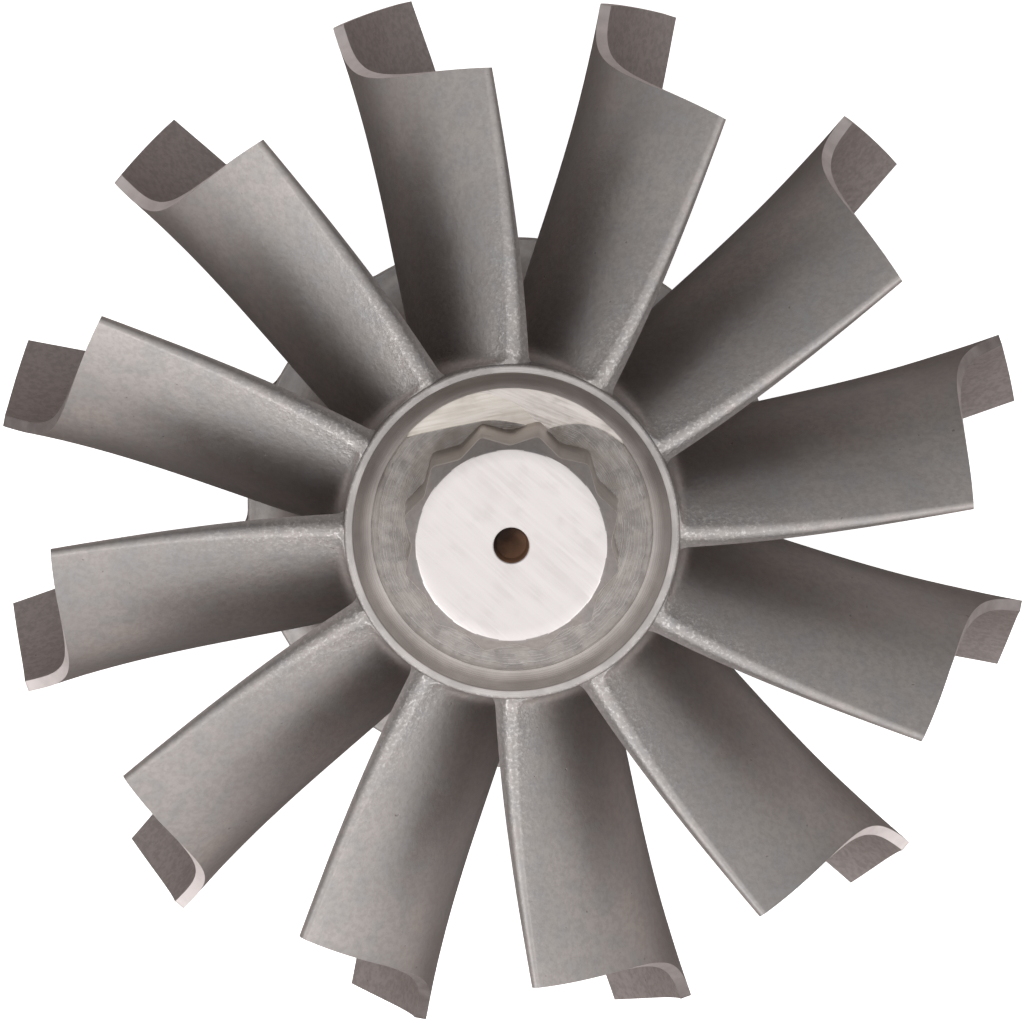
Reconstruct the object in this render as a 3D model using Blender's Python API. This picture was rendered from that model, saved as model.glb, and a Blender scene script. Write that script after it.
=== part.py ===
"""Turbine wheel of a large exhaust turbocharger, cast in one piece in a nickel alloy, with twelve blades.

The wheel stands on the shaft boss behind it, nose up: Z is its axis, and the origin is the centre of the
boss's face. Lengths are in metres. Blade angles are in degrees, clockwise from +Y as seen from the nose.
"""

import math

import bmesh
import bpy
from mathutils import Vector

MM = 0.001
GAP = 0.3 * MM  # left between neighbouring parts of the one casting

BLADES = 12
INDUCER_R = 61.0 * MM  # the blades' outer edges, where the gas comes in
EXDUCER_R = 53.6 * MM  # the blades' tips, where the gas leaves
NOSE_FLATS = 22.0 * MM  # across the flats of the twelve-point nose

# Heights above the shaft boss's face
BACK_Z = 9.0 * MM  # the back edges of the blades and the back of the disc
SHROUD_Z = BACK_Z + 16.8 * MM  # where the outer edge of a blade turns in to its tip edge
EXIT_TIP_Z = BACK_Z + 40.0 * MM  # the trailing edge at the tip
EXIT_ROOT_Z = BACK_Z + 42.9 * MM  # the trailing edge at the hub
LIP_Z = BACK_Z + 44.0 * MM  # the lip round the end of the hub
NOSE_Z = BACK_Z + 62.6 * MM  # the top of the nose

# Hub and back disc
DISC_R = 31.7 * MM
DISC_EDGE = 1.8 * MM  # the disc's thickness at its edge
EDGE_BREAK = 0.3 * MM
LIP_R = 19.45 * MM
LIP_WIDTH = 1.05 * MM
DISH_R = 16.6 * MM  # the foot of the bevel inside the lip
DISH_Z = LIP_Z - 2.6 * MM
FLOOR_R = 12.9 * MM
FLOOR_Z = LIP_Z - 3.0 * MM
NECK_R = 24.5 * MM  # where the disc's flat back starts to run down to the shaft boss
NECK_Z = 5.6 * MM
HUB_SIDES = 96
HUB_STEPS = 14  # rings along the hub line, which the blade roots share
NECK_STEPS = 5

# Shaft boss, which the shaft is welded to
BOSS_R = 13.5 * MM
BOSS_BEVEL = 0.5 * MM
RECESS_R = 8.0 * MM
RECESS_DEPTH = 3.2 * MM
RECESS_TAPER = 0.6 * MM
BOSS_SIDES = 64

# Nose
NOTCH_RATIO = 0.897  # a notch's radius over a corner's, where two hexagons cross
NOSE_TURN = 14.0  # degrees from +Y, clockwise, to the nearest corner
NOSE_DISC_R = 10.9 * MM
NOSE_BEVEL = 50.0  # degrees down from the face
NOSE_POINTS = 12
NOSE_STEPS = 4  # points along the outline from one corner to the next
CENTRE_HOLE_R = 2.05 * MM
CENTRE_HOLE_DEPTH = 3.0 * MM
CENTRE_CONE_DEPTH = 1.2 * MM

# The balance cut, milled in the dish beside the nose
CUT_DEPTH = 0.8 * MM
CUT_HALF_ANGLE = 47.0
CUT_STEPS = 16
CUT_ABOVE = 1.5 * MM  # the cutter stands this far above the floor

# Blades: each is nearly made of radial lines, with a lean towards the root at the turn and at the back edge
TURN_Z = BACK_Z + 17.5 * MM  # the height at which a blade's tip reaches furthest round
ROOT_TURN_RISE = 8.0 * MM  # how much higher that is at the root
TURN_ANGLE = -19.7
TURN_LEAN = -8.0  # degrees that the root leans past the tip at the turn
LEAN_POWER = 2.6
EXIT_SWEEP = 17.0  # degrees from the turn to the trailing edge at the tip
EXIT_POWER = 2.7
ROOT_EXIT_POWER = 2.2
EXIT_BOW = -0.4  # degrees that the middle of the trailing edge bows back
BACK_SWEEP = 7.5  # degrees from the turn to the back edge
BACK_POWER = 1.6
BACK_LEAN = 4.8  # degrees that the root lags behind the tip at the back edge
THICK_TIP = 1.3 * MM
THICK_ROOT = 4.0 * MM
THICK_EXIT_TIP = 0.95 * MM
THICK_EXIT_ROOT = 2.4 * MM
THICK_POWER = 1.7  # how the thickness grows from the tip to the root
THIN_POWER = 3.0  # how late a blade thins towards its trailing edge
SQUARE_POWER = 8.0  # how near the trailing edge its square cut begins
SHROUD_POWER = 2.8  # how quickly the tip edge turns in from the outer edge's radius
EDGE_STATIONS = 6  # intervals up the outer edge
TIP_STATIONS = 9  # intervals along the tip edge
TIP_CROWDING = 1.3  # how much closer they lie at the turn
SPAN_STATIONS = 6  # intervals from the root to the tip

SHARP = math.radians(35)


def clear_scene():
    for obj in list(bpy.data.objects):
        bpy.data.objects.remove(obj, do_unlink=True)


def metal(name, colour, roughness):
    made = bpy.data.materials.new(name)
    made.use_nodes = True
    shader = made.node_tree.nodes["Principled BSDF"]
    shader.inputs["Base Color"].default_value = (*colour, 1)
    shader.inputs["Metallic"].default_value = 1.0
    shader.inputs["Roughness"].default_value = roughness
    made.diffuse_color = (*colour, 1)
    return made


def finish_object(name, bm, material):
    bmesh.ops.recalc_face_normals(bm, faces=bm.faces)
    mesh = bpy.data.meshes.new(name)
    bm.to_mesh(mesh)
    bm.free()
    mesh.materials.append(material)
    mesh.shade_smooth()
    mesh.set_sharp_from_angle(angle=SHARP)
    obj = bpy.data.objects.new(name, mesh)
    bpy.context.scene.collection.objects.link(obj)
    return obj


def at(radius, degrees, z):
    """The point at this radius and height, and at this angle clockwise from +Y."""
    turn = math.radians(degrees)
    return Vector((radius * math.sin(turn), radius * math.cos(turn), z))


def loft(rings, start, end):
    """Closed skin through rings of equally many points, from one point on the axis to another."""
    bm = bmesh.new()
    loops = [[bm.verts.new(point) for point in ring] for ring in rings]
    count = len(loops[0])
    first = bm.verts.new((0, 0, start))
    last = bm.verts.new((0, 0, end))
    for k in range(count):
        after = (k + 1) % count
        bm.faces.new((first, loops[0][after], loops[0][k]))
        bm.faces.new((last, loops[-1][k], loops[-1][after]))
        for low, high in zip(loops, loops[1:]):
            bm.faces.new((low[k], low[after], high[after], high[k]))
    return bm


def turned(profile, start, end, sides):
    rings = [[at(radius, 360 * k / sides, z) for k in range(sides)] for radius, z in profile]
    return loft(rings, start, end)


def hub_line(turn, stand_off=0.0):
    """(radius, height) on the hub's gas side: a quarter of an ellipse from the disc's edge to the lip."""
    across = DISC_R - LIP_R
    along = LIP_Z - BACK_Z - DISC_EDGE
    radius = DISC_R - across * math.sin(turn)
    z = BACK_Z + DISC_EDGE + along * (1 - math.cos(turn))
    out = Vector((along * math.sin(turn), across * math.cos(turn))).normalized() * stand_off
    return radius + out.x, z + out.y


def hub_turns(end_z, count):
    """Turns along the hub line, from the disc's edge to this height."""
    along = LIP_Z - BACK_Z - DISC_EDGE
    last = math.acos(1 - (end_z - BACK_Z - DISC_EDGE) / along)
    return [last * k / count for k in range(count + 1)]


def make_hub(material):
    profile = [(BOSS_R, NECK_Z)]
    for k in range(1, NECK_STEPS + 1):
        turn = math.pi / 2 * k / NECK_STEPS
        radius = BOSS_R + (NECK_R - BOSS_R) * (1 - math.cos(turn))
        profile.append((radius, NECK_Z + (BACK_Z - NECK_Z) * math.sin(turn)))
    profile.append((DISC_R - EDGE_BREAK, BACK_Z))
    profile.append((DISC_R, BACK_Z + EDGE_BREAK))
    profile += [hub_line(turn) for turn in hub_turns(EXIT_ROOT_Z, HUB_STEPS)]
    profile.append((LIP_R, LIP_Z - EDGE_BREAK))
    profile.append((LIP_R - EDGE_BREAK, LIP_Z))
    profile.append((LIP_R - LIP_WIDTH, LIP_Z))
    profile.append((DISH_R, DISH_Z))
    profile.append((FLOOR_R, FLOOR_Z))
    hub = finish_object("hub", turned(profile, NECK_Z, FLOOR_Z, HUB_SIDES), material)
    cut = hub.modifiers.new("balance_cut", "BOOLEAN")
    cut.operation = "DIFFERENCE"
    cut.solver = "EXACT"
    cut.object = make_balance_cutter(material)
    return hub


def make_balance_cutter(material):
    """A crescent that reaches from the nose to the foot of the bevel."""
    angles = [CUT_HALF_ANGLE * (2 * k / CUT_STEPS - 1) for k in range(CUT_STEPS + 1)]
    outer = [at(DISH_R, angle, 0) for angle in angles]
    narrow = [math.cos(math.radians(90 * angle / CUT_HALF_ANGLE)) for angle in angles]
    inner = [at(DISH_R - (DISH_R - FLOOR_R) * share, angle, 0) for share, angle in zip(narrow, angles)]
    outline = outer + inner[-2:0:-1]
    bm = bmesh.new()
    low = bm.faces.new([bm.verts.new((p.x, p.y, FLOOR_Z - CUT_DEPTH)) for p in outline])
    raised = bmesh.ops.extrude_face_region(bm, geom=[low])["geom"]
    top = [item for item in raised if isinstance(item, bmesh.types.BMVert)]
    bmesh.ops.translate(bm, verts=top, vec=(0, 0, CUT_DEPTH + CUT_ABOVE))
    cutter = finish_object("balance_cutter", bm, material)
    cutter.hide_render = True
    cutter.display_type = "WIRE"
    return cutter


def make_shaft_boss(material):
    profile = [
        (RECESS_R - RECESS_TAPER, RECESS_DEPTH),
        (RECESS_R, 0),
        (BOSS_R - BOSS_BEVEL, 0),
        (BOSS_R, BOSS_BEVEL),
        (BOSS_R, NECK_Z - GAP),
    ]
    return finish_object("shaft_boss", turned(profile, RECESS_DEPTH, NECK_Z - GAP, BOSS_SIDES), material)


def nose_outline():
    """(radius, angle) round the twelve-point nose, straight from each corner to the next notch."""
    corner_r = NOSE_FLATS / 2 / math.cos(math.radians(30))
    pitch = 360 / NOSE_POINTS
    outline = []
    for k in range(NOSE_POINTS):
        start = NOSE_TURN + pitch * k
        corner = at(corner_r, start, 0)
        notch = at(corner_r * NOTCH_RATIO, start + pitch / 2, 0)
        after = at(corner_r, start + pitch, 0)
        half = NOSE_STEPS // 2
        for a, b in ((corner, notch), (notch, after)):
            for step in range(half):
                point = a.lerp(b, step / half)
                outline.append((point.length, math.degrees(math.atan2(point.x, point.y))))
    return outline


def make_nose(material):
    outline = nose_outline()
    foot = FLOOR_Z + GAP
    fall = math.tan(math.radians(NOSE_BEVEL))
    rings = [
        [at(radius, angle, foot) for radius, angle in outline],
        [at(radius, angle, NOSE_Z - (radius - NOSE_DISC_R) * fall) for radius, angle in outline],
        [at(NOSE_DISC_R, angle, NOSE_Z) for _, angle in outline],
        [at(CENTRE_HOLE_R, angle, NOSE_Z) for _, angle in outline],
        [at(CENTRE_HOLE_R, angle, NOSE_Z - CENTRE_HOLE_DEPTH) for _, angle in outline],
    ]
    tip = NOSE_Z - CENTRE_HOLE_DEPTH - CENTRE_CONE_DEPTH
    return finish_object("nose_boss", loft(rings, foot, tip), material)


def camber_angle(radius, z):
    """The angle of a blade's middle surface at this radius and height, for blade 01."""
    inward = max(0.0, (INDUCER_R - radius) / (INDUCER_R - LIP_R))
    across = min(1.0, max(0.0, (EXDUCER_R - radius) / (EXDUCER_R - LIP_R)))
    lean = TURN_LEAN * inward**LEAN_POWER
    turn_z = TURN_Z + ROOT_TURN_RISE * across
    if z > turn_z:
        share = (z - turn_z) / (EXIT_TIP_Z + (EXIT_ROOT_Z - EXIT_TIP_Z) * across - turn_z)
        longer = 1 + across * (EXIT_ROOT_Z - EXIT_TIP_Z) / (EXIT_TIP_Z - TURN_Z)
        swept = EXIT_SWEEP * longer**EXIT_POWER + EXIT_BOW * 4 * across * (1 - across)
        power = EXIT_POWER + (ROOT_EXIT_POWER - EXIT_POWER) * across
        return TURN_ANGLE + swept * share**power + lean * (1 - min(1.0, share) ** 2)
    share = (turn_z - z) / (turn_z - BACK_Z)
    swept = BACK_SWEEP * share**BACK_POWER + BACK_LEAN * inward * share**2
    return TURN_ANGLE + swept + lean * (1 - share**2)


def exit_share(z):
    """0 up to the turn, and 1 from the height of the trailing edge's tip."""
    return min(1.0, max(0.0, (z - TURN_Z) / (EXIT_TIP_Z - TURN_Z)))


def thickness(radius, z):
    inward = max(0.0, (INDUCER_R - radius) / (INDUCER_R - LIP_R)) ** THICK_POWER
    exit_inward = max(0.0, (EXDUCER_R - radius) / (EXDUCER_R - LIP_R))
    full = THICK_TIP + (THICK_ROOT - THICK_TIP) * inward
    thin = THICK_EXIT_TIP + (THICK_EXIT_ROOT - THICK_EXIT_TIP) * exit_inward
    return full + (thin - full) * exit_share(z) ** THIN_POWER


def slope(radius, z):
    """How far a blade's middle surface runs round for each metre that it rises."""
    step = 0.1 * MM
    return math.radians(camber_angle(radius, z + step) - camber_angle(radius, z - step)) / (2 * step) * radius


def root_line():
    """(radius, height) along a blade's root, clear of the disc's edge and of the hub."""
    steps = EDGE_STATIONS + TIP_STATIONS - 1
    turns = hub_turns(EXIT_ROOT_Z, steps)
    line = [(DISC_R + GAP, BACK_Z), (DISC_R + GAP, BACK_Z + DISC_EDGE + GAP)]
    return line + [hub_line(turn, GAP) for turn in turns[1:]]


def tip_line():
    """(radius, height) up a blade's outer edge and along its tip, which curves in to the exducer's radius."""
    edge = [(INDUCER_R, BACK_Z + (SHROUD_Z - BACK_Z) * k / EDGE_STATIONS) for k in range(EDGE_STATIONS)]
    tip = []
    for k in range(TIP_STATIONS + 1):
        share = (k / TIP_STATIONS) ** TIP_CROWDING
        radius = EXDUCER_R + (INDUCER_R - EXDUCER_R) * (1 - share) ** SHROUD_POWER
        tip.append((radius, SHROUD_Z + (EXIT_TIP_Z - SHROUD_Z) * share))
    return edge + tip


def blade_point(radius, z, side, blade_turn):
    """The point on one face of a blade: side is 1 for the hollow face and -1 for the other.

    Near the trailing edge the hollow face stops lower than the other, which makes that edge square.
    """
    lean = slope(radius, z) / math.hypot(1, slope(radius, z))
    z -= side * thickness(radius, z) / 2 * lean * exit_share(z) ** SQUARE_POWER
    half_angle = math.degrees(thickness(radius, z) / 2 * math.hypot(1, slope(radius, z)) / radius)
    return at(radius, camber_angle(radius, z) + side * half_angle + blade_turn, z)


def make_blade(name, blade_turn, material):
    bm = bmesh.new()
    faces_of = {}
    for side in (1, -1):
        rows = []
        for root, tip in zip(root_line(), tip_line()):
            row = []
            for j in range(SPAN_STATIONS + 1):
                share = j / SPAN_STATIONS
                radius = root[0] + (tip[0] - root[0]) * share
                z = root[1] + (tip[1] - root[1]) * share
                row.append(bm.verts.new(blade_point(radius, z, side, blade_turn)))
            rows.append(row)
        faces_of[side] = rows
        for low, high in zip(rows, rows[1:]):
            for j in range(SPAN_STATIONS):
                bm.faces.new((low[j], low[j + 1], high[j + 1], high[j]))
    rims = []
    for rows in faces_of.values():
        rim = rows[0] + [row[-1] for row in rows[1:]] + rows[-1][-2::-1] + [row[0] for row in rows[-2:0:-1]]
        rims.append(rim)
    for k in range(len(rims[0])):
        after = (k + 1) % len(rims[0])
        # The shorter diagonal keeps a twisted face out of the hub.
        a, b, c, d = rims[0][k], rims[0][after], rims[1][after], rims[1][k]
        if (a.co - c.co).length < (b.co - d.co).length:
            bm.faces.new((a, b, c))
            bm.faces.new((a, c, d))
        else:
            bm.faces.new((a, b, d))
            bm.faces.new((b, c, d))
    return finish_object(name, bm, material)


def main():
    clear_scene()
    cast = metal("cast_nickel_alloy", (0.33, 0.315, 0.30), 0.42)
    machined = metal("machined_nickel_alloy", (0.62, 0.60, 0.57), 0.28)
    make_hub(cast)
    make_shaft_boss(machined)
    make_nose(machined)
    for k in range(BLADES):
        make_blade(f"blade_{k + 1:02d}", 360 / BLADES * k, cast)


main()
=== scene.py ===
import math

import bpy
import numpy as np
from mathutils import Matrix, Vector, noise


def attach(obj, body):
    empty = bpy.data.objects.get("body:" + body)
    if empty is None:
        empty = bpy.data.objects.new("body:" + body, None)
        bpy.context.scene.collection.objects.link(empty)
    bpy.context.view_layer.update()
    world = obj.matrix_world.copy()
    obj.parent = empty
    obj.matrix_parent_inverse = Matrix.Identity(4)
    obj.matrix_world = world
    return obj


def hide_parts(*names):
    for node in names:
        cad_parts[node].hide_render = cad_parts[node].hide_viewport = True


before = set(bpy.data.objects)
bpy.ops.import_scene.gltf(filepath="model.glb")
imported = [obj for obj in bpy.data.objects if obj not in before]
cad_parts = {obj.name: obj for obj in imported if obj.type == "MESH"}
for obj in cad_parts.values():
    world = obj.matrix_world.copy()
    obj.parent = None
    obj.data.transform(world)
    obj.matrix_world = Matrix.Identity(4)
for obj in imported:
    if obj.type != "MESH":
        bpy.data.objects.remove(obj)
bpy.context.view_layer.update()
bpy.ops.object.select_all(action="DESELECT")


# The hub is the solid core of the wheel. It flares out to a round disc at the back, and ends in front in a raised
# lip with a shallow dish inside it. It is investment cast in a nickel alloy together with the blades, and then the
# lip, the wall inside the lip and the disc's edge are turned on a lathe.
MM = 0.001
BACK_Z = 9.0 * MM
DISC_R = 31.7 * MM
DISC_EDGE = 1.8 * MM
LIP_R = 19.45 * MM
LIP_Z = BACK_Z + 44.0 * MM
LIP_INNER_R = 18.42 * MM
LIP_OUTER_ROUND = 0.4 * MM
LIP_INNER_ROUND = 0.15 * MM
FLOOR_Z = LIP_Z - 3.0 * MM
FOOT_CENTRE_R = 15.55 * MM
FOOT_ROUND = 2.4 * MM
STEP_R = 16.35 * MM
TOOL_STEP = 0.03 * MM
DISC_BACK_ROUND = 0.4 * MM
DISC_FRONT_ROUND = 0.5 * MM
NECK_R = 24.5 * MM
NECK_Z = 5.6 * MM
BOSS_R = 13.5 * MM
HUB_SIDES = 240
NECK_STEPS = 19
FLARE_STEPS = 44
CAST_UNEVEN = 0.13 * MM
SHADED_SIDE = 8.0


def arc(centre_r, centre_z, radius, start, end, steps):
    """Points of a rounded corner, from one angle to another, in degrees up from the outward direction."""
    turns = [math.radians(start + (end - start) * k / steps) for k in range(steps + 1)]
    return [(centre_r + radius * math.cos(turn), centre_z + radius * math.sin(turn)) for turn in turns]


def hub_line(turn, stand_off=0.0):
    """(radius, height) on the gas side of the hub, a quarter of an ellipse from the disc's edge to the lip."""
    across = DISC_R - LIP_R
    along = LIP_Z - BACK_Z - DISC_EDGE
    radius = DISC_R - across * math.sin(turn)
    z = BACK_Z + DISC_EDGE + along * (1 - math.cos(turn))
    out = Vector((along * math.sin(turn), across * math.cos(turn))).normalized() * stand_off
    return radius + out.x, z + out.y


def turn_up(name, sides, outline):
    """A closed turned shape: a disc that is extruded and resized from each point of its outline to the next."""
    radius, z = outline[0]
    bpy.ops.mesh.primitive_circle_add(vertices=sides, radius=radius, fill_type="NGON", location=(0, 0, z))
    piece = bpy.context.object
    piece.name = piece.data.name = name
    bpy.ops.object.mode_set(mode="EDIT")
    for next_radius, next_z in outline[1:]:
        bpy.ops.mesh.extrude_region_move(TRANSFORM_OT_translate={"value": (0, 0, next_z - z)})
        grow = next_radius / radius
        bpy.ops.transform.resize(value=(grow, grow, 1), center_override=(0, 0, next_z))
        radius, z = next_radius, next_z
    bpy.ops.mesh.select_all(action="SELECT")
    bpy.ops.mesh.normals_make_consistent(inside=False)
    bpy.ops.object.mode_set(mode="OBJECT")
    bpy.ops.object.transform_apply(location=True, rotation=True, scale=True)
    return piece


def select_only(piece):
    bpy.ops.object.select_all(action="DESELECT")
    piece.select_set(True)
    bpy.context.view_layer.objects.active = piece


def cut_away(piece, tool):
    """Takes the tool's shape out of the piece."""
    bpy.context.view_layer.objects.active = piece
    cut = piece.modifiers.new("cut", "BOOLEAN")
    cut.operation, cut.solver, cut.object = "DIFFERENCE", "EXACT", tool
    bpy.ops.object.modifier_apply(modifier=cut.name)
    bpy.data.objects.remove(tool)


def bell(distance, width):
    """1 at no distance, falling smoothly to nothing two widths away."""
    return math.exp(-((distance / width) ** 2))


def from_shaded_side(point):
    """The angle, in degrees, from the side away from the lamps where shade is painted on the dish, the wall and the
    nose's flank, a little left of +Y.
    """
    return math.degrees(math.atan2(point.x, point.y)) + SHADED_SIDE


neck = []
for step in range(NECK_STEPS + 1):
    turn = math.radians(90 * step / NECK_STEPS)
    neck.append((BOSS_R + (NECK_R - BOSS_R) * (1 - math.cos(turn)), NECK_Z + (BACK_Z - NECK_Z) * math.sin(turn)))
disc_back = [(26.5 * MM, BACK_Z), (28.9 * MM, BACK_Z)]
disc_edge = arc(DISC_R - DISC_BACK_ROUND, BACK_Z + DISC_BACK_ROUND, DISC_BACK_ROUND, -90, 0, 4)
disc_edge += arc(DISC_R - DISC_FRONT_ROUND, BACK_Z + DISC_EDGE - DISC_FRONT_ROUND, DISC_FRONT_ROUND, 0, 80, 4)
flare = [hub_line(math.radians(4 + 82.5 * (step / FLARE_STEPS) ** 0.9)) for step in range(FLARE_STEPS + 1)]
lip = arc(LIP_R - LIP_OUTER_ROUND, LIP_Z - LIP_OUTER_ROUND, LIP_OUTER_ROUND, 0, 90, 8)
lip += arc(LIP_INNER_R + LIP_INNER_ROUND, LIP_Z - LIP_INNER_ROUND, LIP_INNER_ROUND, 90, 155, 4)
wall = [(18.3 * MM, LIP_Z - 0.38 * MM), (18.1 * MM, LIP_Z - 0.80 * MM), (17.9 * MM, LIP_Z - 1.23 * MM)]
foot = arc(FOOT_CENTRE_R, FLOOR_Z + FOOT_ROUND, FOOT_ROUND, -25, -90, 16)
foot = [(radius, z - TOOL_STEP if radius < STEP_R else z) for radius, z in foot]
floor_rings = [((15.0 - 0.5 * k) * MM, FLOOR_Z - TOOL_STEP - 0.01 * MM * k) for k in range(11)]
hub = turn_up("hub_casting", HUB_SIDES, [(BOSS_R, NECK_Z - 0.3 * MM)] + neck + disc_back + disc_edge + flare + lip
              + wall + foot + floor_rings)

grain = hub.data.attributes.new("grain", "FLOAT", "POINT")
painted_shade_and_tone = hub.data.attributes.new("painted_shade_and_tone", "FLOAT", "POINT")
for index, vertex in enumerate(hub.data.vertices):
    point = vertex.co
    radius = math.hypot(point.x, point.y)
    aside = from_shaded_side(point)
    if radius < STEP_R and point.z > FLOOR_Z - MM:
        point.z += noise.fractal(point * 420, 0.7, 2.0, 3) * CAST_UNEVEN * min(1.0, (STEP_R - radius) / MM)
        # In the dish the mix is random darker tone, plus a ring of painted shade at the nose's foot and a painted
        # shadow behind the nose on the side away from the lamps.
        painted_shadow_behind_nose = bell(aside, 42) * bell(radius - 12.7 * MM, 1.3 * MM)
        rubbed = noise.noise(Vector((radius / MM * 1.9, math.radians(aside) * 2.2, 7)))
        blend = 0.33 + 0.45 * rubbed + 0.25 * bell(radius - 12.4 * MM, 0.9 * MM) + painted_shadow_behind_nose
        painted_shade_and_tone.data[index].value = min(1.0, max(0.0, blend))
    elif radius > LIP_INNER_R:
        grain.data[index].value = 0.7 * max(0.0, 1 - abs(point.z - LIP_Z) / (0.8 * MM))
    elif point.z > FLOOR_Z:
        # The wall inside the lip is painted darker on the side away from the lamps: painted shade.
        painted_shade_and_tone.data[index].value = 0.65 * bell(aside, 75)


class Tone:
    """A shader socket. Arithmetic on it adds Math nodes, and node() adds any other kind of node."""

    def __init__(self, tree, socket=None):
        self.tree, self.socket = tree, socket

    def node(self, kind, sockets, output=0, **settings):
        made = self.tree.nodes.new("ShaderNode" + kind)
        for name, value in settings.items():
            setattr(made, name, value)
        for name, value in sockets.items():
            if isinstance(value, Tone):
                self.tree.links.new(value.socket, made.inputs[name])
            else:
                made.inputs[name].default_value = value
        return Tone(self.tree, made.outputs[output])

    def maths(self, operation, *values):
        return self.node("Math", dict(enumerate(values)), operation=operation)

    def __add__(self, other):
        return self.maths("ADD", self, other)

    def __radd__(self, other):
        return self.maths("ADD", other, self)

    def __sub__(self, other):
        return self.maths("SUBTRACT", self, other)

    def __rsub__(self, other):
        return self.maths("SUBTRACT", other, self)

    def __mul__(self, other):
        return self.maths("MULTIPLY", self, other)

    def __rmul__(self, other):
        return self.maths("MULTIPLY", other, self)

    def __truediv__(self, other):
        return self.maths("DIVIDE", self, other)

    def __pow__(self, other):
        return self.maths("POWER", self, other)

    def between(self, low, high):
        """0 up to low, 1 from high, and smooth between them."""
        return self.node("MapRange", {"Value": self, "From Min": low, "From Max": high},
                         interpolation_type="SMOOTHSTEP")

    def noise(self, scale, detail=2.0, roughness=0.5):
        return self.node("TexNoise", {"Vector": self, "Scale": scale, "Detail": detail, "Roughness": roughness})

    def bands(self, detail=2.0):
        """Noise along one line: this socket is the way along it."""
        return self.node("TexNoise", {"W": self, "Detail": detail}, noise_dimensions="1D")

    def mix(self, factor, first, second):
        return self.node("Mix", {0: factor, 6: first, 7: second}, output=2, data_type="RGBA")

    def split(self):
        """The x, y and z of this vector."""
        parts = self.node("SeparateXYZ", {0: self})
        return [Tone(self.tree, output) for output in parts.socket.node.outputs]

    def painted(self, name):
        """A value that was written on the piece's points."""
        return self.node("Attribute", {}, output=2, attribute_name=name)

    def feeds(self, shader, socket):
        self.tree.links.new(self.socket, shader.inputs[socket])

    def embosses(self, shader, depth):
        """Makes this socket the relief of the surface. Its depth is the rise from 0 to 1, in metres."""
        self.node("Bump", {"Height": self, "Distance": depth, "Strength": 1.0}).feeds(shader, "Normal")


def start_finish(name, metallic=1.0):
    """A new material, its shader and the place on the piece that its patterns start from."""
    material = bpy.data.materials.new(name)
    material.use_nodes = True
    shader = material.node_tree.nodes["Principled BSDF"]
    shader.inputs["Metallic"].default_value = metallic
    return material, shader, Tone(material.node_tree).node("TexCoord", {}, output=3)


# The cast skin of a nickel alloy: a warm satin grey with a fine sandy grain, coarser where the blasting of the
# casting caught the roots and edges, with painted glints on that coarse grain, faint clouds of colour and a few
# small pits. The blades' hollow faces are painted lighter: painted light.
cast_alloy, shader, place = start_finish("cast_alloy")
coarse = place.painted("grain")
painted_light_side = place.painted("painted_light_side")
clouds = place.noise(70, 1)
patches = place.noise(420, 2)
speckle = place.noise(1400, 2, 0.65)
clumps = place.noise(2400, 3, 0.7)
glints = clumps.between(0.48, 0.70)
pits = place.noise(1300, 1).between(0.225, 0.18)
colour = place.mix(clouds.between(0.3, 0.7), (0.350, 0.330, 0.322, 1), (0.405, 0.375, 0.360, 1))
colour = place.mix(patches.between(0.42, 0.7) * 0.55, colour, (0.330, 0.333, 0.338, 1))
# Hollow faces are painted lighter: painted light that lifts the shaded valleys between the blades.
colour = place.mix(painted_light_side, colour, (0.540, 0.505, 0.500, 1))
colour = place.mix(speckle.between(0.62, 0.35) * 0.35, colour, (0.275, 0.255, 0.245, 1))
# Clumps of the coarse grain are painted brighter: painted glints.
colour = place.mix(coarse * glints * 0.65, colour, (0.74, 0.72, 0.70, 1))
colour = place.mix(pits * 0.5, colour, (0.16, 0.14, 0.13, 1))
colour.feeds(shader, "Base Color")
(0.43 + (clouds - 0.5) * 0.16 + (patches - 0.5) * 0.12 - coarse * glints * 0.10).feeds(shader, "Roughness")
height = clumps * (0.2 + coarse * 1.8) + speckle * 0.45 + patches * 0.6 - pits * 0.4
height.embosses(shader, 0.05 * MM)


# Turned metal: the same alloy cut bright on a lathe, with fine rings round the wheel's axis. The lip is duller,
# where the cast grain shows through.
turned_alloy, shader, place = start_finish("turned_alloy")
coarse = place.painted("grain")
east, north, up = place.split()
from_axis = (east * east + north * north) ** 0.5
rings = (from_axis * 9000 + up * 9000).bands()
broad_rings = (from_axis * 1900 + up * 1900).bands()
sand = place.noise(2600, 2)
clouds = place.noise(240, 3)
blend = (clouds.between(0.3, 0.75) + broad_rings.between(0.35, 0.65) * 1.6 + rings * 0.6) / 3
colour = place.mix(blend, (0.46, 0.43, 0.415, 1), (0.94, 0.905, 0.89, 1))
colour = place.mix(coarse * (0.7 + clouds.between(0.35, 0.6) * 0.7), colour, (0.45, 0.43, 0.42, 1))
# The wall inside the lip is painted darker brown on the side away from the lamps: painted shade.
colour = place.mix(place.painted("painted_shade_and_tone"), colour, (0.34, 0.31, 0.295, 1))
colour.feeds(shader, "Base Color")
(0.56 + (rings - 0.5) * 0.15 + (clouds - 0.5) * 0.12).feeds(shader, "Roughness")
(rings * 0.4 + sand * 0.35).embosses(shader, 0.03 * MM)


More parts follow.
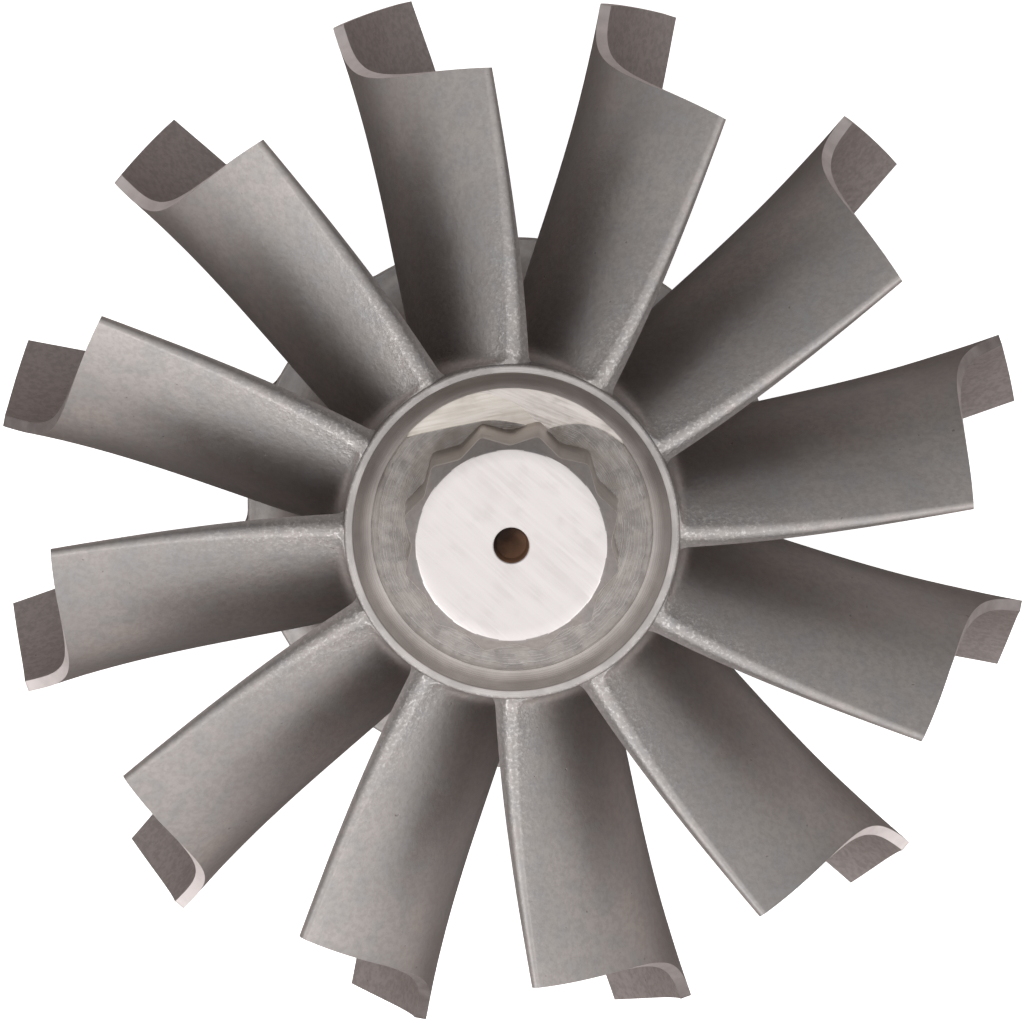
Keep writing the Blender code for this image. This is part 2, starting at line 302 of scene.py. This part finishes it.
# The dish's floor: cast skin that the lathe has just skimmed, with dull rings that the casting's hollows break up.
dish_alloy, shader, place = start_finish("dish_alloy")
shade_and_tone = place.painted("painted_shade_and_tone")
east, north, _ = place.split()
from_axis = (east * east + north * north) ** 0.5
patches = place.noise(420, 3)
hollows = place.noise(900, 3, 0.6)
sand = place.noise(2600, 3, 0.6)
skimmed = (from_axis * 2600 + patches * 2.2).bands(3.0)
colour = place.mix(patches.between(0.38, 0.62), (0.320, 0.302, 0.292, 1), (0.450, 0.425, 0.410, 1))
colour = place.mix(skimmed.between(0.5, 0.68) * hollows.between(0.4, 0.58) * 0.75, colour, (0.66, 0.63, 0.615, 1))
colour = place.mix(skimmed.between(0.46, 0.34) * hollows.between(0.6, 0.42) * 0.7, colour, (0.20, 0.185, 0.175, 1))
# The dish is painted darker brown by the values mixed on the hub: random tone, plus painted shade at the nose's foot
# and behind the nose.
colour = place.mix(shade_and_tone * (0.25 + patches.between(0.35, 0.65) * 0.55), colour, (0.215, 0.185, 0.160, 1))
colour.feeds(shader, "Base Color")
(0.45 + (hollows - 0.5) * 0.2).feeds(shader, "Roughness")
(skimmed * 0.8 + hollows + patches * 0.8 + sand * 0.2).embosses(shader, 0.05 * MM)


def streaked(name, angle, light, dark, roughness, depth, fine=3800):
    """Metal cut bright by a tool that runs one way: the angle of its streaks is in degrees from +X."""
    material, shader, place = start_finish(name)
    along = place.node("Mapping", {"Vector": place, "Rotation": (0, 0, math.radians(-angle))})
    along = along.node("Mapping", {"Vector": along, "Scale": (0.06, 1, 1)})
    streaks = along.noise(fine, 2)
    broad = along.noise(fine * 0.22, 2)
    clouds = place.noise(260, 2)
    marks = (streaks * 0.5 + broad * 0.5).between(0.35, 0.65)
    patchy = 0.35 + clouds.between(0.38, 0.62) * 0.65
    dull_spots = place.noise(520, 2).between(0.55, 0.75)
    colour = place.mix(marks * patchy + (1 - patchy) * 0.75 - dull_spots * 0.35, dark, light)
    # Painted shade: a darker brown mixed in where the nose's flank faces away from the lamps.
    place.mix(place.painted("flank_painted_shade"), colour, (0.26, 0.205, 0.17, 1)).feeds(shader, "Base Color")
    (roughness + (clouds - 0.5) * 0.12 + (streaks - 0.5) * 0.1).feeds(shader, "Roughness")
    (streaks * 0.6 + broad * 0.25).embosses(shader, depth)
    return material


milled_left = streaked("milled_alloy_left", 11, (0.80, 0.76, 0.71, 1), (0.60, 0.56, 0.50, 1), 0.36, 0.03 * MM)
milled_right = streaked("milled_alloy_right", -22, (0.78, 0.73, 0.70, 1), (0.52, 0.48, 0.45, 1), 0.34, 0.035 * MM)


# The balance cut: two shallow passes of a milling cutter beside the nose, which take off the metal that puts the
# wheel out of balance. They are bright, and the second crosses the end of the first.
FIRST_PASS_Z = FLOOR_Z - 0.72 * MM
SECOND_PASS_Z = FLOOR_Z - 0.86 * MM
CUTTER_HEIGHT = 2.2 * MM
CUT_STEPS = 24


def crescent(outline, floor_z, finish):
    """A cutter with this outline of (angle, radius in mm) points, clockwise from +Y, that stands on floor_z."""
    bpy.ops.mesh.primitive_circle_add(vertices=len(outline), radius=LIP_INNER_R, fill_type="NGON")
    cutter = bpy.context.object
    for vertex, (angle, radius) in zip(cutter.data.vertices, outline):
        turn = math.radians(angle)
        vertex.co = (radius * MM * math.sin(turn), radius * MM * math.cos(turn), floor_z)
    bpy.ops.object.mode_set(mode="EDIT")
    bpy.ops.mesh.select_all(action="SELECT")
    bpy.ops.mesh.extrude_region_move(TRANSFORM_OT_translate={"value": (0, 0, CUTTER_HEIGHT)})
    bpy.ops.mesh.select_all(action="SELECT")
    bpy.ops.mesh.normals_make_consistent(inside=False)
    bpy.ops.object.mode_set(mode="OBJECT")
    for material in hub_finishes:
        cutter.data.materials.append(material)
    for face in cutter.data.polygons:
        face.material_index = hub_finishes.index(finish)
    return cutter


def eased(points, steps):
    """Many points along a line of a few (angle, radius) points, rounded where it turns."""
    spaced = []
    for k in range(len(points) - 1):
        before, start, end = points[max(0, k - 1)], points[k], points[k + 1]
        after = points[min(len(points) - 1, k + 2)]
        for step in range(steps):
            t = step / steps
            spaced.append(tuple(
                0.5 * (2 * b + (c - a) * t + (2 * a - 5 * b + 4 * c - d) * t * t + (3 * b - a - 3 * c + d) * t**3)
                for a, b, c, d in zip(before, start, end, after)))
    return spaced + [points[-1]]


hub_finishes = [cast_alloy, turned_alloy, milled_left, milled_right, dish_alloy]
for material in hub_finishes:
    hub.data.materials.append(material)
for face in hub.data.polygons:
    radius, z = math.hypot(face.center.x, face.center.y), face.center.z
    in_lip = z > FLOOR_Z + 0.15 * MM and STEP_R < radius < LIP_R - 0.3 * MM
    on_disc_edge = z < BACK_Z + DISC_EDGE - 0.2 * MM and radius > DISC_R - 0.2 * MM
    in_dish = z > FLOOR_Z - MM and radius < STEP_R + 0.25 * MM
    if in_lip or on_disc_edge or z < BACK_Z + 0.01 * MM:
        finish = turned_alloy
    else:
        finish = dish_alloy if in_dish else cast_alloy
    face.material_index = hub_finishes.index(finish)

left_inner = eased([(-49, 16.25), (-38, 14.6), (-25, 13.45), (-11.5, 13.0), (3, 12.4), (18, 12.1)], 5)
left_outer = [(18 - 67 * k / CUT_STEPS, 16.46) for k in range(1, CUT_STEPS)]
right_inner = eased([(-13, 16.35), (-4, 15.3), (6, 14.0), (17, 12.1), (22, 12.9), (36.5, 15.1), (53, 16.3)], 5)
right_outer = [(53 - 65 * k / CUT_STEPS, 16.48) for k in range(1, CUT_STEPS)]
passes = [crescent(left_inner + left_outer, FIRST_PASS_Z, milled_left),
          crescent(right_inner + right_outer, SECOND_PASS_Z, milled_right)]
for cutter in passes:
    cut_away(hub, cutter)
select_only(hub)
bpy.ops.object.shade_smooth_by_angle(angle=math.radians(32))
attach(hub, "root")
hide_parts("hub")


# The twelve blades are cast in one piece with the hub. The gas comes in over their upright outer edges and leaves
# past the trailing edges in front. Each is hollow on one face, and runs into the hub with a fillet. The tips are
# ground to fit the housing, and the other edges keep their cast rounding.
INDUCER_R = 61.0 * MM
EXDUCER_R = 53.6 * MM
SHROUD_Z = BACK_Z + 16.8 * MM
EXIT_TIP_Z = BACK_Z + 40.0 * MM
EXIT_ROOT_Z = BACK_Z + 42.9 * MM
TURN_Z = BACK_Z + 17.5 * MM
ROOT_TURN_RISE = 8.0 * MM
ROOT_ON_DISC = 0.04
TIP_UPRIGHT = 0.4
MIDDLE_ANGLE = -19.7
ROOT_LEAN = -8.0
EXIT_TURN = 17.0
EXIT_POWER = 2.7
INLET_TURN = 7.5
INLET_ROOT_TURN = 4.8
INLET_THICK = 1.3 * MM
ROOT_THICKER = 2.7 * MM
EXIT_THICK = 0.95 * MM
EXIT_ROOT_THICKER = 1.45 * MM
TIP_RIM = 0.4 * MM
ROOT_RIM = 1.4 * MM
FILLET = 2.2 * MM
EXIT_FILLET = 1.2 * MM
EDGE_ROUNDING = 0.5 * MM
BACK_EDGE_SHARE = 0.8
EXIT_EDGE_SHARE = 0.25
TIP_EDGE_SHARE = 0.14
BELOW_LIP = 0.42 * MM
BLADES = 12
PITCH = 30
CHORD = 84
EXIT_STEPS = 10
NEAR_ROOT = [-0.5, 0.0, 0.1, 0.25, 0.45, 0.7, 1.0, 1.35, 1.75, 2.3, 3.1]
OUTWARD = 21
ROWS = len(NEAR_ROOT) - 1 + OUTWARD


def from_inlet(radius):
    """0 at the blade's outer edge, 1 at the lip's radius."""
    return max(0.0, (INDUCER_R - radius) / (INDUCER_R - LIP_R))


def from_exit_tip(radius):
    """0 at the tip of the trailing edge, 1 at its root."""
    return max(0.0, (EXDUCER_R - radius) / (EXDUCER_R - LIP_R))


def camber_angle(radius, z):
    """The angle of the first blade's middle surface, in degrees clockwise from +Y."""
    across = min(1.0, from_exit_tip(radius))
    lean = ROOT_LEAN * from_inlet(radius) ** 2.6
    turn_z = TURN_Z + ROOT_TURN_RISE * across
    if z > turn_z:
        exit_turn = EXIT_TURN * (1 + 0.129 * across) ** EXIT_POWER - 1.6 * across * (1 - across)
        share = (z - turn_z) / (EXIT_TIP_Z + (EXIT_ROOT_Z - EXIT_TIP_Z) * across - turn_z)
        power = EXIT_POWER - 0.5 * across
        return MIDDLE_ANGLE + exit_turn * share**power + lean * (1 - min(1.0, share) ** 2)
    share = (turn_z - z) / (turn_z - BACK_Z)
    swept = INLET_TURN * share**1.6 + INLET_ROOT_TURN * from_inlet(radius) * share**2
    return MIDDLE_ANGLE + swept + lean * (1 - share**2)


def exit_share(z):
    """0 up to the height where the blade starts to turn, 1 at the trailing edge."""
    return min(1.0, max(0.0, (z - TURN_Z) / (EXIT_TIP_Z - TURN_Z)))


def thickness(radius, z):
    full = INLET_THICK + ROOT_THICKER * from_inlet(radius) ** 1.7
    return full + (EXIT_THICK + EXIT_ROOT_THICKER * from_exit_tip(radius) - full) * exit_share(z) ** 3


def swelling(radius, z):
    """How much thicker the blade is on its other face than on its hollow one, near the root of the trailing edge."""
    inward = from_exit_tip(radius)
    return max(0.0, 2.0 * inward**1.3 - 1.45 * inward) * MM * exit_share(z) ** 3


def slope(radius, z):
    """How far the middle surface moves sideways for each metre of height."""
    step = 0.1 * MM
    return math.radians(camber_angle(radius, z + step) - camber_angle(radius, z - step)) / (2 * step) * radius


def root_at(along):
    """(radius, height) a little inside the hub, up the disc's edge and then along the hub."""
    if along < ROOT_ON_DISC:
        return DISC_R - 0.5 * MM, BACK_Z + 1.3 * MM * along / ROOT_ON_DISC
    first = 0.04
    last = math.acos(1 - (EXIT_ROOT_Z - BACK_Z - DISC_EDGE) / (LIP_Z - BACK_Z - DISC_EDGE))
    return hub_line(first + (last - first) * (along - ROOT_ON_DISC) / (1 - ROOT_ON_DISC), -0.5 * MM)


def tip_at(along):
    """(radius, height) up the outer edge and then along the tip."""
    if along < TIP_UPRIGHT:
        return INDUCER_R, BACK_Z + (SHROUD_Z - BACK_Z) * along / TIP_UPRIGHT
    share = ((along - TIP_UPRIGHT) / (1 - TIP_UPRIGHT)) ** 1.25
    return EXDUCER_R + (INDUCER_R - EXDUCER_R) * (1 - share) ** 2.8, SHROUD_Z + (EXIT_TIP_Z - SHROUD_Z) * share


def on_row(row, along):
    """(radius, height) on one row of the blade, which runs from its back at 0 to its trailing edge at 1."""
    root, tip = Vector(root_at(along)), Vector(tip_at(along))
    length = (tip - root).length
    reach = (NEAR_ROOT[min(row, len(NEAR_ROOT) - 1)] + 0.5) * MM
    if row >= len(NEAR_ROOT):
        reach += (length - 0.35 * MM - reach) * (row - len(NEAR_ROOT) + 1) / (OUTWARD - 1)
    return root.lerp(tip, min(reach, length) / length if row < ROWS else 1.0)


def on_face(radius, z, out):
    """A point of the first blade at this distance from its middle surface, positive towards its hollow side."""
    z -= out * slope(radius, z) / math.hypot(1, slope(radius, z)) * exit_share(z) ** 8
    turn = math.radians(camber_angle(radius, z)) + out * math.hypot(1, slope(radius, z)) / radius
    return Vector((radius * math.sin(turn), radius * math.cos(turn), z))


# Ground metal: the blades' tips, cut to size by a grinding wheel, paler and flatter than the cast skin.
ground_alloy, shader, place = start_finish("ground_alloy")
scratches = place.noise(5200, 2)
clouds = place.noise(420, 2)
# Each tip's colour runs from dark to pale by the tone painted on it.
bright = place.painted("tip_tone") + (clouds - 0.5) * 0.4
place.mix(bright, (0.19, 0.17, 0.165, 1), (0.90, 0.86, 0.855, 1)).feeds(shader, "Base Color")
(0.52 + (scratches - 0.5) * 0.2).feeds(shader, "Roughness")
scratches.embosses(shader, 0.02 * MM)

hub_surface = [(DISC_R, BACK_Z + DISC_EDGE * k / 20) for k in range(20)]
hub_surface += [hub_line(math.radians(90 * k / 400)) for k in range(401)]
hub_surface = np.array(hub_surface)

bpy.ops.object.select_all(action="DESELECT")
bpy.ops.mesh.primitive_grid_add(x_subdivisions=CHORD, y_subdivisions=ROWS, size=2)
blade = bpy.context.object
blade.name = blade.data.name = "blade_casting_01"
bpy.ops.object.mode_set(mode="EDIT")
bpy.ops.mesh.select_all(action="SELECT")
bpy.ops.mesh.extrude_region_move(TRANSFORM_OT_translate={"value": (0, 0, 1)})
bpy.ops.object.mode_set(mode="OBJECT")

for material in (cast_alloy, ground_alloy):
    blade.data.materials.append(material)
for face in blade.data.polygons:
    face.material_index = 1 if face.center.y > 0.999 else 0
softness = blade.data.attributes.new("bevel_weight_edge", "FLOAT", "EDGE")
for index, edge in enumerate(blade.data.edges):
    a, b = (blade.data.vertices[k].co for k in edge.vertices)
    if abs(a.z - b.z) > 0.5:
        continue
    if a.x < -0.999 and b.x < -0.999:
        softness.data[index].value = BACK_EDGE_SHARE
    elif a.x > 0.999 and b.x > 0.999 and a.z > 0.5:
        softness.data[index].value = EXIT_EDGE_SHARE
    elif a.y > 0.999 and b.y > 0.999:
        softness.data[index].value = TIP_EDGE_SHARE

grain = blade.data.attributes.new("grain", "FLOAT", "POINT")
painted_light_face = blade.data.attributes.new("painted_light_side", "FLOAT", "POINT")
for index, vertex in enumerate(blade.data.vertices):
    station = round((vertex.co.x + 1) / 2 * CHORD)
    row = round((vertex.co.y + 1) / 2 * ROWS)
    side = 1 if vertex.co.z > 0.5 else -1
    edge_r, edge_z = on_row(row, 1.0)
    rim = TIP_RIM + (ROOT_RIM - TIP_RIM) * from_exit_tip(edge_r) ** 1.3
    round_off = thickness(edge_r, edge_z) + swelling(edge_r, edge_z) - rim
    bend = 1.1 * round_off
    last_turn = math.acos(1 - round_off / bend)
    upright = 1 / math.hypot(1, slope(edge_r, edge_z))
    run = bend * math.sin(last_turn) * upright
    round_start = 1 - run / ((edge_z - on_row(row, 0.98)[1]) / 0.02)
    cut_back = 0.0
    if station <= CHORD - EXIT_STEPS:
        radius, z = on_row(row, round_start * station / (CHORD - EXIT_STEPS))
    else:
        turn = last_turn * (station - CHORD + EXIT_STEPS) / EXIT_STEPS
        radius, z = edge_r, edge_z - bend * (math.sin(last_turn) - math.sin(turn)) * upright
        cut_back = bend * (1 - math.cos(turn))
    clear = float(np.hypot(hub_surface[:, 0] - radius, hub_surface[:, 1] - z).min()) if row > 0 else 0.0
    exit_part = exit_share(z)
    fillet_r = FILLET + (EXIT_FILLET - FILLET) * exit_part**2
    fillet = 0.0
    if clear < fillet_r:
        fillet = fillet_r - math.sqrt(fillet_r * fillet_r - (fillet_r - clear) ** 2)
    if row == 0:
        fillet = fillet_r * 1.15
    out = thickness(radius, z) / 2 + fillet
    out += noise.noise(Vector((station / CHORD * 9, row / ROWS * 7, side * 5))) * 0.03 * MM
    if side < 0:
        out = -(out + swelling(radius, z) - cut_back)
    vertex.co = on_face(radius, z, out)
    # Marks the hollow face, which the cast alloy paints lighter: painted light.
    painted_light_face.data[index].value = max(0, side)
    if radius < LIP_R + FILLET:
        vertex.co.z = min(vertex.co.z, LIP_Z - BELOW_LIP)
    # The grain is coarser near the trailing edge's root on the convex face, where the cast alloy also paints glints.
    near_exit = bell(max(0.0, edge_z - z) / upright, 2.0 * MM + 0.7 * bend)
    near_root = bell(clear, 13 * MM)
    streak = near_exit * (0.12 + 0.88 * near_root) if side < 0 else 0.3 * near_exit * near_root
    grain.data[index].value = min(1.0, streak + 0.2 * exit_part * bell(clear, 2 * MM))

bpy.ops.object.mode_set(mode="EDIT")
bpy.ops.mesh.select_all(action="SELECT")
bpy.ops.mesh.normals_make_consistent(inside=False)
bpy.ops.object.mode_set(mode="OBJECT")
bpy.ops.object.shade_smooth()
rounding = blade.modifiers.new("rounding", "BEVEL")
rounding.limit_method = "WEIGHT"
rounding.width = EDGE_ROUNDING
rounding.segments = 4
rounding.harden_normals = True
bpy.ops.object.modifier_apply(modifier=rounding.name)

blades = [blade]
for k in range(1, BLADES):
    select_only(blade)
    bpy.ops.object.duplicate()
    turned_blade = bpy.context.object
    turned_blade.name = turned_blade.data.name = f"blade_casting_{k + 1:02d}"
    turned_blade.rotation_euler.z = math.radians(-PITCH * k)
    bpy.ops.object.transform_apply(location=True, rotation=True, scale=True)
    blades.append(turned_blade)

# How bright each blade's ground tip is painted, at the trailing edge and at the outer edge, listed blade by blade
# round the wheel.
TIP_TONES = [(0.80, 0.90), (0.60, 0.70), (0.50, 0.60), (0.60, 0.05), (0.45, 0.25), (0.80, 1.00),
              (0.60, 0.15), (0.30, 0.00), (0.90, 1.00), (0.70, 0.95), (0.25, 0.10), (0.70, 0.70)]
for k, piece in enumerate(blades):
    tip_tone = piece.data.attributes.new("tip_tone", "FLOAT", "POINT")
    at_exit, at_rim = TIP_TONES[k]
    for index, vertex in enumerate(piece.data.vertices):
        share = min(1.0, max(0.0, (EXIT_TIP_Z - vertex.co.z) / (EXIT_TIP_Z - SHROUD_Z)))
        tip_tone.data[index].value = at_exit + (at_rim - at_exit) * share
    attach(piece, "root")
    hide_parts(f"blade_{k + 1:02d}")


# The nose is the twelve-point drive that the wheel is held and turned by while it is machined and balanced. It is
# cast with the hub: two hexagons crossed at 30 degrees. Its end is faced, its corners are turned back to a bevel,
# and a centre hole is drilled in it for the lathe.
NOSE_Z = BACK_Z + 62.595 * MM
NOSE_CORNER_R = 11.0 * MM / math.cos(math.radians(30))
NOSE_TURN = 14.0
NOSE_DISC_R = 10.9 * MM
NOSE_FOOT_Z = FLOOR_Z - 1.2 * MM
NOSE_SIDES = 288
EDGE_ROUND = 0.22 * MM
BEVEL_FALL = 50
HOLE_RIM_R = 2.1 * MM


def nose_radius(degrees):
    """The distance from the axis to the nose's flank, with its corners a little rounded."""
    reach = 0.0
    for k in range(-3, 4):
        off_corner = abs((degrees - NOSE_TURN + 0.5 * k + 15) % 30 - 15)
        reach += math.cos(math.radians(30)) / math.cos(math.radians(30 - off_corner)) / 7
    return NOSE_CORNER_R * reach


flank = [(0.35 * MM, 0.0), (0.12 * MM, 0.08), (0.0, 0.16)] + [(0.0, share) for share in (0.35, 0.55, 0.75, 0.9)]
crease = [math.radians((90 - BEVEL_FALL) * share) for share in (0, 0.25, 0.5, 0.75, 1)]
bevel_shares = [0.25, 0.5, 0.75, 0.94]
faced = [(NOSE_DISC_R - 0.03 * MM, -0.05 * MM), (NOSE_DISC_R - 0.14 * MM, 0.0), (9.6 * MM, 0.0), (7.0 * MM, 0.0),
         (4.6 * MM, 0.0), (2.6 * MM, 0.0), (2.16 * MM, -0.01 * MM), (2.05 * MM, -0.09 * MM), (2.0 * MM, -0.3 * MM),
         (1.9 * MM, -2.4 * MM), (1.7 * MM, -3.0 * MM), (0.9 * MM, -3.7 * MM), (0.06 * MM, -4.2 * MM)]
shaped = len(flank) + len(crease) + len(bevel_shares)
nose = turn_up("drive_nose", NOSE_SIDES, [(NOSE_CORNER_R, NOSE_FOOT_Z + MM * k) for k in range(shaped)]
               + [(radius, NOSE_Z + rise) for radius, rise in faced])
for index, vertex in enumerate(nose.data.vertices):
    ring = index // NOSE_SIDES
    if ring >= shaped:
        continue
    turn = math.atan2(vertex.co.x, vertex.co.y)
    radius = nose_radius(math.degrees(turn))
    tangent = EDGE_ROUND * math.tan(crease[2])
    start_z = NOSE_Z - (radius - NOSE_DISC_R) * math.tan(math.radians(BEVEL_FALL)) - tangent
    if ring < len(flank):
        out, share = flank[ring]
        radius, z = radius + out, NOSE_FOOT_Z + (start_z - NOSE_FOOT_Z) * share
    elif ring < len(flank) + len(crease):
        round_turn = crease[ring - len(flank)]
        radius -= EDGE_ROUND * (1 - math.cos(round_turn))
        z = start_z + EDGE_ROUND * math.sin(round_turn)
    else:
        share = bevel_shares[ring - len(flank) - len(crease)]
        radius -= EDGE_ROUND * (1 - math.cos(crease[-1]))
        z = start_z + EDGE_ROUND * math.sin(crease[-1])
        radius, z = radius + (NOSE_DISC_R - radius) * share, z + (NOSE_Z - 0.02 * MM - z) * share
    vertex.co = (radius * math.sin(turn), radius * math.cos(turn), z)
grain = nose.data.attributes.new("grain", "FLOAT", "POINT")
flank_painted_shade = nose.data.attributes.new("flank_painted_shade", "FLOAT", "POINT")
# The nose's flank is painted darker brown on the side away from the lamps: painted shade.
for index, vertex in enumerate(nose.data.vertices):
    if index // NOSE_SIDES < len(flank):
        grain.data[index].value = 0.35
        flank_painted_shade.data[index].value = 0.9 * bell(from_shaded_side(vertex.co), 70)

faced_alloy = streaked("faced_alloy", -42, (0.71, 0.675, 0.67, 1), (0.635, 0.60, 0.59, 1), 0.34, 0.010 * MM, 3400)
flank_alloy = streaked("flank_alloy", 90, (0.72, 0.68, 0.65, 1), (0.56, 0.52, 0.49, 1), 0.33, 0.012 * MM, 2600)
# The centre hole is painted near-black brown, lighter towards its lower right: painted shade in the hole.
drilled_alloy_painted_shade, shader, place = start_finish("drilled_alloy_painted_shade", 0.6)
east, north, _ = place.split()
painted_light_lower_right = east * 300 - north * 300 + place.noise(900, 2) * 0.6
place.mix(painted_light_lower_right.between(-0.4, 1.1), (0.06, 0.045, 0.04, 1), (0.42, 0.25, 0.16, 1)).feeds(shader, "Base Color")
shader.inputs["Roughness"].default_value = 0.6
nose_finishes = [cast_alloy, faced_alloy, drilled_alloy_painted_shade, flank_alloy]
for material in nose_finishes:
    nose.data.materials.append(material)
for face in nose.data.polygons:
    if math.hypot(face.center.x, face.center.y) < HOLE_RIM_R:
        finish = drilled_alloy_painted_shade
    elif face.center.z > NOSE_Z - 0.07 * MM:
        finish = faced_alloy
    else:
        finish = cast_alloy if face.normal.z > 0.6 else flank_alloy
    face.material_index = nose_finishes.index(finish)
select_only(nose)
bpy.ops.object.shade_smooth_by_angle(angle=math.radians(28))
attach(nose, "root")
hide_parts("nose_boss")


# The shaft boss is the round stub behind the disc. The turbine shaft is welded to its flat face, round a shallow
# recess that keeps the heat of the wheel from the shaft. It is cast with the hub and turned all over.
BOSS_ROUND = 0.5 * MM
boss_outline = [(BOSS_R - BOSS_ROUND, 0.0)] + arc(BOSS_R - BOSS_ROUND, BOSS_ROUND, BOSS_ROUND, -90, 0, 4)[1:]
boss_outline += [(BOSS_R, 2.0 * MM), (BOSS_R, 3.8 * MM), (BOSS_R, 5.3 * MM)]
boss = turn_up("shaft_boss_turned", 160, boss_outline)
recess = turn_up("recess_tool", 96, [(8.25 * MM, -0.3 * MM), (8.0 * MM, 0.2 * MM), (7.75 * MM, 1.6 * MM),
                                     (7.55 * MM, 2.8 * MM), (7.2 * MM, 3.2 * MM)])
cut_away(boss, recess)
boss.data.materials.append(turned_alloy)
select_only(boss)
bpy.ops.object.shade_smooth_by_angle(angle=math.radians(30))
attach(boss, "root")
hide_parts("shaft_boss")


# The wheel stands on a plain white studio floor, under an even white sky that is brightest overhead and on the side
# below the picture, with large soft lamps there.
# Only the camera sees the white floor: the metal mirrors a table in the same place. The table darkens under the
# wheel from its own shadow and from a painted shadow in its colour, and it is painted lighter and glows faintly on
# the side below the picture: painted light.
bpy.ops.mesh.primitive_plane_add(size=6.0)
floor = bpy.context.object
floor.name = floor.data.name = "studio_floor"
paper = bpy.data.materials.new("studio_paper")
paper.use_nodes = True
paper_shader = paper.node_tree.nodes["Principled BSDF"]
paper_shader.inputs["Base Color"].default_value = (0.9, 0.9, 0.9, 1)
paper_shader.inputs["Roughness"].default_value = 0.9
paper_shader.inputs["Emission Color"].default_value = (1, 1, 1, 1)
paper_shader.inputs["Emission Strength"].default_value = 0.9
paper.cycles.emission_sampling = "NONE"
floor.data.materials.append(paper)
floor.visible_glossy = False
floor.visible_diffuse = False
bpy.ops.mesh.primitive_plane_add(size=6.0, location=(0, 0, -0.2 * MM))
table = bpy.context.object
table.name = table.data.name = "studio_table"
table.visible_camera = False
top, top_shader, spot = start_finish("studio_table_top", 0.0)
top_shader.inputs["Roughness"].default_value = 0.9
east, north, _ = spot.split()
from_axis = (east * east + north * north) ** 0.5
# Painted shadow: the table's colour is dark under the wheel.
outside_painted_shadow = from_axis.between(0.045, 0.16)
# Painted light: the table is lighter towards -Y and glows faintly there, though it is no lamp.
painted_light_south = 0.5 - north / (from_axis + 0.001) * 0.5
colour = spot.mix(painted_light_south, (0.62, 0.57, 0.55, 1), (0.95, 0.88, 0.85, 1))
spot.mix(outside_painted_shadow, (0.30, 0.25, 0.23, 1), colour).feeds(top_shader, "Base Color")
top_shader.inputs["Emission Strength"].default_value = 1.0
painted_glow = spot.mix(outside_painted_shadow * painted_light_south * 0.22, (0, 0, 0, 1), (1.0, 0.94, 0.91, 1))
painted_glow.feeds(top_shader, "Emission Color")
top.cycles.emission_sampling = "NONE"
table.data.materials.append(top)

world = bpy.data.worlds.new("studio")
world.use_nodes = True
bpy.context.scene.world = world
sky = Tone(world.node_tree)
_, north, up = sky.node("TexCoord", {}, output=0).split()
bright = 0.58 + up * 0.60 - north * 0.42
dim = 0.14 - north * 0.08
level = up.between(-0.35, 0.0)
tint = sky.mix(level, (1.0, 0.80, 0.72, 1), (1.0, 0.985, 0.98, 1))
background = world.node_tree.nodes["Background"]
tint.feeds(background, "Color")
(level * bright + (1 - level) * dim).feeds(background, "Strength")


def soft_lamp(name, azimuth, elevation, size, radiance):
    """A square lamp a metre away, at this azimuth clockwise from +Y, turned towards the wheel."""
    turn, rise = math.radians(azimuth), math.radians(elevation)
    way = Vector((math.sin(turn) * math.cos(rise), math.cos(turn) * math.cos(rise), math.sin(rise)))
    bpy.ops.object.light_add(type="AREA", location=way + Vector((0, 0, 0.03)))
    lamp = bpy.context.object
    lamp.name = name
    lamp.rotation_euler = way.to_track_quat("Z", "Y").to_euler()
    lamp.data.shape, lamp.data.size = "SQUARE", size
    lamp.data.energy = radiance * math.pi * size * size


soft_lamp("soft_lamp_left", 228, 42, 0.6, 1.2)
soft_lamp("soft_lamp_right", 128, 42, 0.45, 1.2)


# The camera looks almost straight down the wheel's axis from about 1.4 m, as for a catalogue picture.
AIM = Vector((-0.159, -1.19, 9)) * MM
DISTANCE = 1.394
camera_data = bpy.data.cameras.new("camera")
camera = bpy.data.objects.new("camera", camera_data)
bpy.context.scene.collection.objects.link(camera)
back = Vector((0.0038, 0.080, 1)).normalized()
right = Vector((0, 1, 0)).cross(back).normalized()
upward = back.cross(right)
camera.matrix_world = Matrix((right, upward, back)).transposed().to_4x4()
camera.location = AIM + back * DISTANCE
camera_data.sensor_width = 36
camera_data.lens = 410.5
bpy.context.scene.camera = camera
bpy.context.scene.view_settings.view_transform = "Standard"
